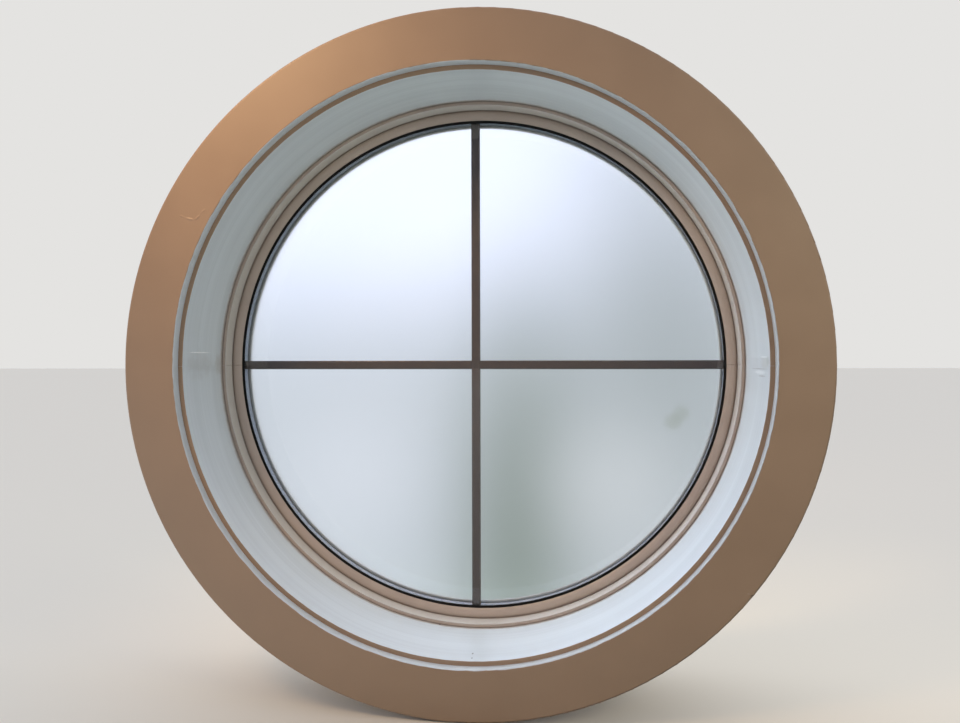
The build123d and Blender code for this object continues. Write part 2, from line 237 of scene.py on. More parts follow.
@dataclass(frozen=True)
class Finish:
    """What every finish has: its material slot, its maker's name, colour and roughness."""

    slot: str
    name: str
    colour: str
    roughness: float

    def material(self) -> bpy.types.Material:
        """Builds the material.

        Returns:
            The material, with its nodes.
        """
        made = bpy.data.materials.new(self.name)
        made.use_nodes = True
        made.node_tree.nodes.clear()
        surface = self.surface(made.node_tree)
        add_node(made.node_tree, "ShaderNodeOutputMaterial", {"Surface": surface})
        made.diffuse_color = linear(self.colour)
        return made

    def surface(self, tree: Tree) -> Node:
        """Adds the nodes of the finish.

        Args:
            tree: node tree of the material.

        Returns:
            The shader.
        """
        raise NotImplementedError

    def gloss(self, tree: Tree, pattern: Source, change: float) -> Node:
        """Adds a roughness that a pattern raises in places.

        Args:
            tree: node tree of the material.
            pattern: a noise, around 0.5.
            change: how much rougher the roughest places are.

        Returns:
            The roughness.
        """
        low, high = NOISE_SPAN
        least = self.roughness
        return add_node(
            tree, "ShaderNodeMapRange", {0: pattern, 1: low, 2: high, 3: least, 4: least + change},
            interpolation_type="SMOOTHSTEP",
        )

    def shaded(self, tree: Tree, colour: Any, pattern: Source, change: float) -> Node:
        """Darkens a colour by a pattern.

        Args:
            tree: node tree of the material.
            colour: the linear colour, or its source.
            pattern: a noise, around 0.5.
            change: how much darker the darkest places are.

        Returns:
            The varied colour.
        """
        low, high = NOISE_SPAN
        shade = add_node(
            tree, "ShaderNodeMapRange", {0: pattern, 1: low, 2: high, 3: 1 - change, 4: 1.0},
            interpolation_type="SMOOTHSTEP",
        )
        base = colour[:3] if isinstance(colour, tuple) else colour
        return add_node(tree, "ShaderNodeVectorMath", {0: base, 3: shade}, operation="SCALE")


class PaintCut(Enum):
    """Where a painted board's painted room light meets its painted daylight."""

    RADIUS = "room side beyond a radius, bare behind a depth"
    DEPTH = "room side before a depth, bare beyond a radius"


@dataclass(frozen=True)
class PaintedBoard(Finish):
    """Semi-gloss acrylic on primed fibreboard.

    One paint all over, drawn in two tones of painted light: tan where the board faces the room,
    for the dim warm light of the room, and off-white where it faces the window's axis, for the
    daylight through the glass, changing at the arris. Rolled and then laid off along the ring,
    which leaves a fine orange peel and faint lengthwise lines, both drawn about twice as coarse
    as real ones, so that they show. The side that is hidden once the board is fitted is bare.
    """

    # Painted daylight on the side that faces the axis; the finish's own colour is the painted room
    # light.
    daylit_colour: str = "#ced4d8"
    bare_colour: str = "#a98e6c"
    bare_roughness: float = 0.85
    cut: PaintCut = PaintCut.RADIUS
    cut_at_mm: float = 420.0
    bare_at_mm: float = -170.9
    ring_mm: float = 450.0
    cut_wander_mm: float = 0.3
    wander_mm: float = 22.0
    feather_mm: float = 0.2
    cloud_mm: float = 90.0
    peel_mm: float = 3.2
    brush_mm: tuple[float, float] = (260.0, 3.4)
    roller_mm: tuple[float, float] = (900.0, 22.0)
    fibre_mm: tuple[float, float] = (9.0, 1.6)
    room_change: float = 0.05
    band_change: float = 0.07
    brush_change: float = 0.05
    fibre_change: float = 0.35
    gloss_change: float = 0.08
    brush_relief_mm: float = 0.12
    peel_relief_mm: float = 0.08
    marks: tuple[Mark, ...] = ()

    def surface(self, tree: Tree) -> Node:
        """Adds the paint and the bare board.

        Args:
            tree: node tree of the material.

        Returns:
            The shader.
        """
        place = ring_place(tree, self.ring_mm)
        wander, cloud, peel = (
            add_node(
                tree, "ShaderNodeTexNoise",
                {"Vector": place.point, "Scale": 1 / (grain_mm * MM), "Detail": detail},
            )
            for grain_mm, detail in (
                (self.wander_mm, 2.0), (self.cloud_mm, 2.0), (self.peel_mm, 1.5)
            )
        )
        brush, bands, fibre = (
            add_node(
                tree, "ShaderNodeTexNoise",
                {"Vector": stretched(tree, place, *grain_mm), "Scale": 1.0, "Detail": detail},
            )
            for grain_mm, detail in (
                (self.brush_mm, 3.0), (self.roller_mm, 2.0), (self.fibre_mm, 4.0)
            )
        )

        low, high = NOISE_SPAN
        reach = self.cut_wander_mm * MM
        shift = add_node(
            tree, "ShaderNodeMapRange", {0: wander, 1: low, 2: high, 3: -reach, 4: reach},
            interpolation_type="SMOOTHSTEP",
        )
        cut, bare, feather = self.cut_at_mm * MM, self.bare_at_mm * MM, self.feather_mm * MM
        if self.cut is PaintCut.RADIUS:
            cut_by, bare_by, run = place.radius, place.depth, feather
        else:
            cut_by, bare_by, run = place.depth, place.radius, -feather
        measure = add_node(tree, "ShaderNodeMath", {0: cut_by, 1: shift}, operation="ADD")
        is_bare = add_node(
            tree, "ShaderNodeMapRange", {0: bare_by, 1: bare, 2: bare + feather / 4},
            interpolation_type="SMOOTHSTEP",
        )

        # Painted light: tan for the paint in the dim warm room light, off-white for the same paint
        # in the daylight through the glass.
        room = self.shaded(tree, linear(self.colour), cloud, self.room_change)
        banded = self.shaded(tree, linear(self.daylit_colour), bands, self.band_change)
        inner = self.shaded(tree, banded, brush, self.brush_change)
        board = self.shaded(tree, linear(self.bare_colour), fibre, self.fibre_change)
        colour = laid_over(tree, inner, room, (measure, cut - run, cut + run))
        for mark in self.marks:
            colour = mark.over(tree, place.point, colour)
        colour = laid_over(tree, colour, board, most=is_bare)

        gloss = self.gloss(tree, cloud, self.gloss_change)
        dull = add_node(
            tree, "ShaderNodeMix", {0: is_bare, 2: gloss, 3: self.bare_roughness},
            data_type="FLOAT",
        )
        laid = add_node(
            tree, "ShaderNodeBump",
            {"Strength": 0.35, "Distance": self.brush_relief_mm * MM, "Height": brush},
        )
        texture = add_node(
            tree, "ShaderNodeBump",
            {"Strength": 0.3, "Distance": self.peel_relief_mm * MM, "Height": peel,
             "Normal": laid},
        )
        return add_node(
            tree, "ShaderNodeBsdfPrincipled",
            {"Base Color": colour, "Roughness": dull, "IOR": 1.49, "Normal": texture},
        )


@dataclass(frozen=True)
class ExtrudedVinyl(Finish):
    """Almond vinyl, extruded and then bent: satin, with die lines that run round the ring.

    The short leg between bead and lip is drawn paler than the faces towards the room: painted
    daylight, for the glow and the reflection of the glass that fall on it. The sun has bleached
    the weather side. The vinyl is drawn darker in the corner behind the bead.
    """

    # Painted daylight on the short leg.
    daylit_leg_colour: str = "#c5bfb8"
    # Darker in the corner behind the bead.
    corner_dark_colour: str = "#6d6156"
    bleached_colour: str = "#d8d4cc"
    leg_radius_mm: float = 408.4
    bead_top_mm: float = -23.6
    bleached_from_mm: float = 5.0
    ring_mm: float = 410.0
    line_mm: tuple[float, float] = (900.0, 1.1)
    line_relief_mm: float = 0.05
    cloud_mm: float = 55.0
    cloud_change: float = 0.07
    gloss_change: float = 0.1
    leg_run_mm: float = 0.3
    top_run_mm: float = 0.2
    bleach_run_mm: float = 1.5
    corner_dark_width_mm: tuple[float, float] = (6.0, 1.0)
    corner_dark_height_mm: tuple[float, float] = (2.4, 0.4)
    corner_dark_share: float = 0.4
    marks: tuple[Mark, ...] = ()

    def surface(self, tree: Tree) -> Node:
        """Adds the vinyl.

        Args:
            tree: node tree of the material.

        Returns:
            The shader.
        """
        place = ring_place(tree, self.ring_mm)
        lines = add_node(
            tree, "ShaderNodeTexNoise",
            {"Vector": stretched(tree, place, *self.line_mm), "Scale": 1.0, "Detail": 2.0},
        )
        cloud = add_node(
            tree, "ShaderNodeTexNoise",
            {"Vector": place.point, "Scale": 1 / (self.cloud_mm * MM), "Detail": 3.0},
        )
        leg, top, sun = (
            part * MM for part in (self.leg_radius_mm, self.bead_top_mm, self.bleached_from_mm)
        )
        far, near = (leg - part * MM for part in self.corner_dark_width_mm)
        inside = (place.radius, leg + self.leg_run_mm * MM, leg)
        before = (place.depth, top, top - self.top_run_mm * MM)
        in_sun = (place.depth, sun, sun + self.bleach_run_mm * MM)
        near_leg = (place.radius, far, near)
        low_down = (
            place.depth, top - self.corner_dark_height_mm[0] * MM, top + self.corner_dark_height_mm[1] * MM
        )
        tone = self.shaded(tree, linear(self.colour), cloud, self.cloud_change)
        # Painted daylight: the short leg is drawn paler for the glow and the reflection of the
        # glass that fall on it.
        tone = laid_over(tree, tone, linear(self.daylit_leg_colour), inside, before)
        tone = laid_over(tree, tone, linear(self.bleached_colour), in_sun)
        # Darker in the corner behind the bead.
        tone = laid_over(
            tree, tone, linear(self.corner_dark_colour), near_leg, inside, low_down, most=self.corner_dark_share
        )
        for mark in self.marks:
            tone = mark.over(tree, place.point, tone)
        drawn = add_node(
            tree, "ShaderNodeBump",
            {"Strength": 0.3, "Distance": self.line_relief_mm * MM, "Height": lines},
        )
        return add_node(
            tree, "ShaderNodeBsdfPrincipled",
            {"Base Color": tone, "Roughness": self.gloss(tree, lines, self.gloss_change),
             "IOR": 1.53, "Normal": drawn},
        )


class PaneFace(Enum):
    """What was done to a pane's face towards the cavity."""

    CLEAR = "left as float glass"
    ETCHED = "etched white"


@dataclass(frozen=True)
class FloatGlass(Finish):
    """Clear float glass, with its cavity face left clear or acid etched.

    Rays from lamps pass straight through, so that what stands behind the glass is lit.
    """

    face: PaneFace = PaneFace.CLEAR
    etched_before_mm: float = 0.9
    etched_run_mm: float = 0.1
    etched_roughness: float = 0.3
    lamp_share: str = "#fafcfb"
    ring_mm: float = 400.0
    marks: tuple[Mark, ...] = ()

    def surface(self, tree: Tree) -> Node:
        """Adds the glass.

        Args:
            tree: node tree of the material.

        Returns:
            The shader.
        """
        place = ring_place(tree, self.ring_mm)
        tone: Any = linear(self.colour)
        for mark in self.marks:
            tone = mark.over(tree, place.point, tone)
        rough: Any = self.roughness
        if self.face is PaneFace.ETCHED:
            edge, run = self.etched_before_mm * MM, self.etched_run_mm * MM
            rough = add_node(
                tree, "ShaderNodeMapRange",
                {0: place.depth, 1: edge, 2: edge + run, 3: self.etched_roughness,
                 4: self.roughness},
                interpolation_type="SMOOTHSTEP",
            )
        glass = add_node(
            tree, "ShaderNodeBsdfPrincipled",
            {"Base Color": tone, "Roughness": rough, "IOR": 1.52, "Transmission Weight": 1.0},
        )
        path = add_node(tree, "ShaderNodeLightPath").outputs
        lamp_or_diffuse = add_node(
            tree, "ShaderNodeMath", {0: path["Is Shadow Ray"], 1: path["Is Diffuse Ray"]},
            operation="MAXIMUM",
        )
        clear = add_node(tree, "ShaderNodeBsdfTransparent", {"Color": linear(self.lamp_share)})
        return add_node(tree, "ShaderNodeMixShader", {0: lamp_or_diffuse, 1: glass, 2: clear})


@dataclass(frozen=True)
class Moulded(Finish):
    """Solid-coloured rubber, nylon, sealant, foam, plated steel or baked paint, with its grain.

    The grain of most is finer than a pixel, and is drawn as coarse as it needs to show.
    """

    grain_mm: float = 2.0
    grain_depth_mm: float = 0.05
    tone_change: float = 0.12
    gloss_change: float = 0.1
    ior: float = 1.5
    metallic: float = 0.0

    def surface(self, tree: Tree) -> Node:
        """Adds the material.

        Args:
            tree: node tree of the material.

        Returns:
            The shader.
        """
        point = add_node(tree, "ShaderNodeTexCoord").outputs["Object"]
        grain = add_node(
            tree, "ShaderNodeTexNoise",
            {"Vector": point, "Scale": 1 / (self.grain_mm * MM), "Detail": 3.0},
        )
        bump = add_node(
            tree, "ShaderNodeBump",
            {"Strength": 0.5, "Distance": self.grain_depth_mm * MM, "Height": grain},
        )
        tone = self.shaded(tree, linear(self.colour), grain, self.tone_change)
        gloss = self.gloss(tree, grain, self.gloss_change)
        return add_node(
            tree, "ShaderNodeBsdfPrincipled",
            {"Base Color": tone, "Roughness": gloss, "Normal": bump, "Metallic": self.metallic,
             "IOR": self.ior},
        )


@dataclass(frozen=True)
class PackedBeads(Finish):
    """Molecular sieve beads, seen as a bed of small round grains."""

    bead_mm: float = 1.4
    gap_run: tuple[float, float] = (0.35, 0.6)
    gap_share: float = 0.25
    dome_to: float = 0.55
    dome_mm: float = 0.5

    def surface(self, tree: Tree) -> Node:
        """Adds the bed of beads.

        Args:
            tree: node tree of the material.

        Returns:
            The shader.
        """
        point = add_node(tree, "ShaderNodeTexCoord").outputs["Object"]
        cells = add_node(
            tree, "ShaderNodeTexVoronoi", {"Vector": point, "Scale": 1 / (self.bead_mm * MM)}
        )
        colour = linear(self.colour)
        gap = (*(part * self.gap_share for part in colour[:3]), 1.0)
        domed = add_node(
            tree, "ShaderNodeMapRange", {0: cells, 1: self.dome_to, 2: 0.0},
            interpolation_type="SMOOTHSTEP",
        )
        bump = add_node(
            tree, "ShaderNodeBump",
            {"Strength": 0.8, "Distance": self.dome_mm * MM, "Height": domed},
        )
        return add_node(
            tree, "ShaderNodeBsdfPrincipled",
            {"Base Color": laid_over(tree, colour, gap, (cells, *self.gap_run)),
             "Roughness": self.roughness, "Normal": bump},
        )


@dataclass(frozen=True)
class SpacerMetal(Finish):
    """Mill finish aluminium strip, rolled to a ring, with a row of breather slits inside.

    Its rolling streaks are drawn coarser than real ones, so that they show.
    """

    ring_mm: float = 391.0
    slit_pitch_mm: float = 6.0
    slit_length_mm: float = 2.4
    slit_width_mm: float = 0.5
    slit_run_mm: float = 0.1
    slit_depth_mm: float = -6.6
    slit_colour: str = "#141414"
    streak_mm: tuple[float, float] = (120.0, 0.5)
    streak_relief_mm: float = 0.03
    gloss_change: float = 0.15

    def surface(self, tree: Tree) -> Node:
        """Adds the strip.

        Args:
            tree: node tree of the material.

        Returns:
            The shader.
        """
        place = ring_place(tree, self.ring_mm)
        pitch, line = self.slit_pitch_mm * MM, self.slit_depth_mm * MM
        along = add_node(tree, "ShaderNodeMath", {0: place.along, 1: pitch}, operation="PINGPONG")
        off = add_node(tree, "ShaderNodeMath", {0: place.depth, 1: line}, operation="SUBTRACT")
        across = add_node(tree, "ShaderNodeMath", {0: off}, operation="ABSOLUTE")
        edges = [
            (value, (size / 2 + self.slit_run_mm) * MM, size / 2 * MM)
            for value, size in ((along, self.slit_length_mm), (across, self.slit_width_mm))
        ]
        tone = laid_over(tree, linear(self.colour), linear(self.slit_colour), *edges)
        drawn = add_node(
            tree, "ShaderNodeTexNoise",
            {"Vector": stretched(tree, place, *self.streak_mm), "Scale": 1.0, "Detail": 2.0},
        )
        bump = add_node(
            tree, "ShaderNodeBump",
            {"Strength": 0.15, "Distance": self.streak_relief_mm * MM, "Height": drawn},
        )
        return add_node(
            tree, "ShaderNodeBsdfPrincipled",
            {"Base Color": tone, "Roughness": self.gloss(tree, drawn, self.gloss_change),
             "Metallic": 1.0, "Normal": bump},
        )


@dataclass(frozen=True)
class MattFloor(Finish):
    """A pale matt sheet that gives the eye the window's shadow.

    The view through the glass skips it. What the camera doesn't see of it throws more light up
    from the left, as the room does.
    """

    left_colour: str = "#f4efdf"
    right_colour: str = "#8c897c"
    sides_m: tuple[float, float] = (-0.6, 0.6)

    def surface(self, tree: Tree) -> Node:
        """Adds the sheet.

        Args:
            tree: node tree of the material.

        Returns:
            The shader.
        """
        path = add_node(tree, "ShaderNodeLightPath").outputs
        point = add_node(tree, "ShaderNodeTexCoord").outputs["Object"]
        sideways = add_node(tree, "ShaderNodeSeparateXYZ", {"Vector": point}).outputs["X"]
        left, right = linear(self.left_colour), linear(self.right_colour)
        unseen = laid_over(tree, left, right, (sideways, *self.sides_m))
        tone = laid_over(tree, unseen, linear(self.colour), most=path["Is Camera Ray"])
        sheet = add_node(
            tree, "ShaderNodeBsdfDiffuse", {"Color": tone, "Roughness": self.roughness}
        )
        nothing = add_node(tree, "ShaderNodeBsdfTransparent", {"Color": (1.0, 1.0, 1.0, 1.0)})
        return add_node(
            tree, "ShaderNodeMixShader", {0: path["Is Transmission Ray"], 1: sheet, 2: nothing}
        )


CASING_MARKS: tuple[Mark, ...] = (
    # A nick in the outer edge at the lower right, and a painted highlight on its edge beside it.
    Mark((386.9, -184.6, -303.4), (4.2, 4.0, 1.5), "#3a2c20", 0.8, ragged=0.3),
    Mark((382.0, -185.0, -301.0), (2.4, 3.0, 1.4), "#b09a86", 0.6, ragged=0.3),
)
JAMB_MARKS: tuple[Mark, ...] = (
    # Painted shade and light thrown from the brown lip: the jamb is drawn browner along its seam
    # to the frame, all the way round.
    Mark((0.0, -46.8, 0.0), (1000.0, 11.5, 1000.0), "#9a8675", 0.8, ragged=0.3),
    # The left joint: a white painted highlight on the filler's ridge, and greyer patches beside
    # it.
    Mark((-413.1, -121.0, 20.6), (9.0, 40.0, 1.4), "#ffffff", 0.75),
    Mark((-413.5, -121.0, 2.0), (9.0, 48.0, 26.0), "#aba7a3", 0.24, ragged=1.2, ragged_mm=16.0),
    Mark((-413.5, -58.0, 2.0), (9.0, 20.0, 22.0), "#a99f95", 0.35),
    # The right joint: smudges near the casing, the joint's line, one dark and two pale scuffs.
    Mark((413.5, -148.0, 4.0), (9.0, 26.0, 11.0), "#bfbdb6", 0.4),
    Mark((413.5, -160.0, 6.0), (9.0, 10.0, 8.0), "#9fa39d", 0.4),
    Mark((413.4, -121.0, -4.6), (9.0, 48.0, 0.7), "#8d8b88", 0.7),
    Mark((413.4, -133.0, -14.6), (9.0, 24.0, 1.4), "#9c9a98", 0.6),
    Mark((413.4, -124.0, -9.4), (9.0, 40.0, 3.6), "#eceff2", 0.5),
    Mark((413.2, -143.0, 12.0), (9.0, 20.0, 1.8), "#eef1f4", 0.5),
    # Specks of dirt at the bottom.
    Mark((9.7, -144.1, -413.5), (1.8, 3.4, 4.0), "#57524e", 0.85, ragged=0.4),
    Mark((10.4, -159.2, -413.5), (1.4, 3.0, 4.0), "#57524e", 0.8, ragged=0.4),
    Mark((-54.0, -50.0, -410.2), (2.2, 2.4, 4.0), "#4d3b2e", 0.9, ragged=0.4),
)
JOINT_MARKS: tuple[Mark, ...] = (
    # Dirt in the frame's left and right joint.
    Mark((-402.0, -32.0, 0.0), (14.0, 24.0, 1.2), "#6b5a4e", 0.45, ragged=0.2),
    Mark((402.0, -32.0, 0.0), (14.0, 24.0, 1.2), "#6b5a4e", 0.45, ragged=0.2),
)
GLASS_MARKS: tuple[Mark, ...] = (
    # A faint olive smudge of two dabs at the lower right.
    Mark((314.5, 0.4, -91.5), (21.0, 9.0, 17.0), "#c6c8b2", 0.4, ragged=0.5, ragged_mm=14.0),
    Mark((327.0, 0.4, -78.0), (18.0, 9.0, 20.0), "#c6c8b2", 0.36, ragged=0.5, ragged_mm=14.0),
)
FINISHES: tuple[Finish, ...] = (
    # Primed fibreboard under rolled semi-gloss acrylic. It gives the eye a warm tan that goes pale
    # near the lamp, with a soft sheen and a faint peel. The tan is painted room light, and the
    # inner edge is drawn off-white as painted daylight from the window.
    PaintedBoard(
        "casing_paint", "tan semi-gloss acrylic on fibreboard", "#9f8368", 0.36, cut_at_mm=420.6,
        marks=CASING_MARKS,
    ),
    # The same two tones on board bent round the opening, laid off lengthwise: tan on the front
    # edge for the room light, and a cool off-white band, painted daylight, with lines along the
    # ring, smudges at both joints, a painted highlight at the left joint, and a seam drawn browner
    # as painted shade and light thrown from the lip.
    PaintedBoard(
        "jamb_paint", "off-white semi-gloss acrylic on bent board", "#9f8368", 0.28,
        cut=PaintCut.DEPTH, cut_at_mm=-170.1, bare_at_mm=432.2, ring_mm=413.0, cut_wander_mm=0.2,
        marks=JAMB_MARKS,
    ),
    # Almond vinyl. It gives the eye satin steps of light and dark, with die lines, a short leg
    # drawn paler as painted daylight, a darker corner behind the bead and a line of dirt in each
    # joint.
    ExtrudedVinyl("vinyl", "almond extruded vinyl", "#b9a899", 0.28, marks=JOINT_MARKS),
    # Plain float glass, 4 mm. It gives the eye a faint sheen over the bars and nothing else.
    FloatGlass("clear_glass", "clear float glass", "#f9f9fa", 0.0),
    # Float glass, acid etched on its cavity face. It gives the eye the daylight as one soft glow,
    # with the outdoors only as blurred patches of pale blue, white and green.
    FloatGlass(
        "frosted_glass", "acid etched float glass", "#f8f8f9", 0.0, face=PaneFace.ETCHED,
        lamp_share="#eef1f1", marks=GLASS_MARKS,
    ),
    # Carbon black rubber. It gives the eye the sharp black line round the glass.
    Moulded("gasket_rubber", "black extruded rubber", "#050505", 0.85, grain_mm=1.2),
    # Closed-cell foam, cut from a sheet. It gives the eye a dull grey edge with fine pores.
    Moulded(
        "tape_foam", "closed-cell glazing foam", "#77797b", 0.85, grain_mm=0.9, grain_depth_mm=0.3
    ),
    # Rolled aluminium strip as it leaves the mill. It gives the eye a bright thin rim inside the
    # gasket, streaked along the ring and broken by the breather slits.
    SpacerMetal("spacer_aluminium", "dull mill finish aluminium strip", "#a3aab5", 0.58),
    # Baked paint on a rolled aluminium bar. It gives the eye an even dark brown with a dim sheen.
    Moulded(
        "muntin_bronze", "dark bronze baked paint on aluminium", "#4b4039", 0.42, grain_mm=0.6,
        grain_depth_mm=0.02, tone_change=0.06,
    ),
    # Nylon, moulded in the bars' colour. It gives the eye a slightly duller brown end.
    Moulded("clip_nylon", "bronze moulded nylon", "#3a302a", 0.48, grain_mm=0.8),
    # Molecular sieve in round beads. It gives the eye a cream bed of grains with dark gaps.
    PackedBeads("desiccant", "molecular sieve beads", "#c7b79e", 0.8),
    # Soft polyisobutylene, pressed flat. It gives the eye a black band with a tacky gloss.
    Moulded("butyl", "polyisobutylene primary seal", "#111111", 0.32, grain_mm=4.0),
    # Two-part sealant, tooled flush. It gives the eye a near-black rim with slow waves in it.
    Moulded(
        "sealant", "tooled polysulphide sealant", "#1c1c1d", 0.5, grain_mm=7.0, grain_depth_mm=0.3
    ),
    # Firm rubber. It gives the eye two matt black blocks under the unit.
    Moulded("block_rubber", "firm moulded rubber", "#232324", 0.6, grain_mm=1.0),
    # Zinc plated steel. It gives the eye a bright, slightly mottled metal on heads and threads.
    Moulded(
        "fastener_steel", "zinc plated steel", "#b9bab4", 0.3, grain_mm=1.5, grain_depth_mm=0.02,
        tone_change=0.2, metallic=1.0,
    ),
)


def mesh_of(name: str, form: bmesh.types.BMesh) -> bpy.types.Mesh:
    """Turns a bmesh into a mesh.

    Args:
        name: name of the mesh.
        form: the bmesh, in metres; it is freed.

    Returns:
        The mesh.
    """
    mesh = bpy.data.meshes.new(name)
    form.to_mesh(mesh)
    form.free()
    return mesh


def placed(name: str, data: bpy.types.ID) -> bpy.types.Object:
    """Puts a mesh, a lamp or a camera into the scene.

    Args:
        name: name of the object.
        data: what it shows or is.

    Returns:
        The new object.
    """
    made = bpy.data.objects.new(name, data)
    bpy.context.scene.collection.objects.link(made)
    return made


def new_piece(name: str, form: bmesh.types.BMesh, slot: str, palette: Palette) -> bpy.types.Object:
    """Makes a piece of a bmesh and lets it ride with the window.

    Args:
        name: name of the piece.
        form: its mesh, in metres and in place; it is freed.
        slot: the record's material slot.
        palette: material for each slot.

    Returns:
        The new object.
    """
    mesh = mesh_of(name, form)
    mesh.materials.append(palette[slot])
    piece = placed(name, mesh)
    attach(piece, BODY)
    LOG.info("built %s with %d faces", name, len(mesh.polygons))
    return piece


@dataclass
class SubAssembly:
    """A group of CAD nodes, with the material slot of each and the forms that they lack."""

    nodes: dict[str, str] = field(default_factory=dict)

    def dress(self, palette: Palette) -> None:
        """Gives the group's CAD nodes their finish.

        Args:
            palette: material for each slot.
        """
        for node, slot in self.nodes.items():
            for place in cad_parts[node].material_slots:
                place.material = palette[slot]
            LOG.info("dressed %s in %s", node, palette[slot].name)

    def build(self, palette: Palette) -> None:
        """Adds nothing, which is right for a group whose solids have every form."""


@dataclass
class Casing(SubAssembly):
    """Flat casing ring, with a wrinkle in its paint at the upper left."""

    nodes: dict[str, str] = field(
        default_factory=lambda: {"casing_ring": "casing_paint", "casing_brads": "fastener_steel"}
    )
    face_mm: float = -185.1
    wrinkle_path_mm: tuple[tuple[float, float], ...] = (
        (-409.0, 217.4), (-404.0, 215.2), (-396.0, 212.6), (-388.5, 210.6), (-383.0, 211.8),
        (-378.5, 216.4), (-374.0, 222.0), (-367.5, 226.6),
    )
    wrinkle_width_mm: float = 4.8
    wrinkle_height_mm: float = 0.85
    wrinkle_steps: tuple[int, int] = (36, 8)
    taper: float = 0.6
    swing: float = 0.4
    swells: float = 23.0
    sunk_mm: float = 0.05

    def build(self, palette: Palette) -> None:
        """Builds the wrinkle as a low ridge on the casing's face.

        Args:
            palette: material for each slot.
        """
        steps, rows = self.wrinkle_steps
        form = bmesh.new()
        bmesh.ops.create_grid(form, x_segments=steps, y_segments=rows, size=0.5)
        for vert in form.verts:
            share = vert.co.x + 0.5
            across = vert.co.y * 2
            middle, side = self.on_path(share)
            fullness = 1 - self.swing + self.swing * math.sin(share * self.swells)
            swell = math.sin(math.pi * share) ** self.taper * fullness
            height = self.wrinkle_height_mm * swell * math.cos(across * math.pi / 2) ** 2
            spot = middle + side * (across * self.wrinkle_width_mm / 2)
            vert.co = Vector((spot.x, self.face_mm + self.sunk_mm - height, spot.y)) * MM
        bmesh.ops.recalc_face_normals(form, faces=form.faces)
        if sum(face.normal.y for face in form.faces) > 0:
            bmesh.ops.reverse_faces(form, faces=form.faces)
        for face in form.faces:
            face.smooth = True
        new_piece("casing_paint_wrinkle", form, "casing_paint", palette)

    def on_path(self, share: float) -> tuple[Vector, Vector]:
        """Finds a point on the wrinkle's line.

        Args:
            share: how far along it, from 0 to 1.

        Returns:
            The point and the unit direction across the line, as (x, z) in millimetres.
        """
        place = min(max(share, 0.0), 0.9999) * (len(self.wrinkle_path_mm) - 1)
        index = int(place)
        start = Vector(self.wrinkle_path_mm[index])
        end = Vector(self.wrinkle_path_mm[index + 1])
        run = (end - start).normalized()
        return start.lerp(end, place - index), Vector((-run.y, run.x))


@dataclass(frozen=True)
class FillerSmear:
    """Filler struck off over a joint: feathered at both sides, and pulled along the joint."""

    name: str
    angle: float
    seed: int
    length_mm: float = 40.0
    depths_mm: tuple[float, float] = (-170.2, -49.0)
    thickness_mm: float = 0.62
    steps: tuple[int, int] = (56, 64)
    coarse: tuple[float, float] = (5.0, 3.0)
    fine: tuple[float, float] = (14.0, 9.0)
    least: float = 0.8
    mottled: float = 0.35
    end_power: int = 24

    def height_mm(self, u: float, v: float) -> float:
        """Works out how thick the filler is.

        Args:
            u: place across the joint, from -0.5 to 0.5.
            v: place along the joint, from -0.5 to 0.5.

        Returns:
            The thickness in millimetres.
        """
        broad = noise.noise(Vector((u * self.coarse[0], v * self.coarse[1], self.seed)))
        small = noise.noise(Vector((u * self.fine[0], v * self.fine[1], self.seed + 5)))
        mottle = broad + small / 2
        rim = math.cos(math.pi * u) ** 2 * max(0.0, 1 - (abs(v) * 2) ** self.end_power)
        return self.thickness_mm * rim * (self.least + self.mottled * mottle)


@dataclass
class JambLiner(SubAssembly):
    """Bent jamb liner in two halves, with filler smeared over the butt joints."""

    nodes: dict[str, str] = field(
        default_factory=lambda: {"jamb_upper": "jamb_paint", "jamb_lower": "jamb_paint"}
    )
    radius_mm: float = 413.6
    sunk_mm: float = 0.1
    smears: tuple[FillerSmear, ...] = (
        FillerSmear("joint_filler_left", 179.6, 3), FillerSmear("joint_filler_right", -0.4, 8)
    )

    def build(self, palette: Palette) -> None:
        """Builds the filler at both joints.

        Args:
            palette: material for each slot.
        """
        for smear in self.smears:
            form = self.smeared(smear)
            new_piece(smear.name, form, "jamb_paint", palette)

    def smeared(self, smear: FillerSmear) -> bmesh.types.BMesh:
        """Builds one feathered smear of filler on the liner's inner face.

        Args:
            smear: where it lies and what size it has.

        Returns:
            Its mesh, in metres and in place.
        """
        form = bmesh.new()
        steps, rows = smear.steps
        bmesh.ops.create_grid(form, x_segments=steps, y_segments=rows, size=0.5)
        first, last = smear.depths_mm
        for vert in form.verts:
            u, v = vert.co.x, vert.co.y
            turn = math.radians(smear.angle) + u * smear.length_mm / self.radius_mm
            reach = self.radius_mm + self.sunk_mm - smear.height_mm(u, v)
            depth = first + (v + 0.5) * (last - first)
            vert.co = Vector((reach * math.cos(turn), depth, reach * math.sin(turn))) * MM
        form.normal_update()
        for face in form.faces:
            face.smooth = True
            centre = face.calc_center_median()
            if face.normal.dot(Vector((centre.x, 0, centre.z))) > 0:
                face.normal_flip()
        return form


@dataclass
class VinylFrame(SubAssembly):
    """The bent frame, its glazing bead and its weep covers."""

    nodes: dict[str, str] = field(
        default_factory=lambda: {
            "frame_upper": "vinyl", "frame_lower": "vinyl", "bead_upper": "vinyl",
            "bead_lower": "vinyl", "weep_cover_left": "vinyl", "weep_cover_right": "vinyl",
        }
    )


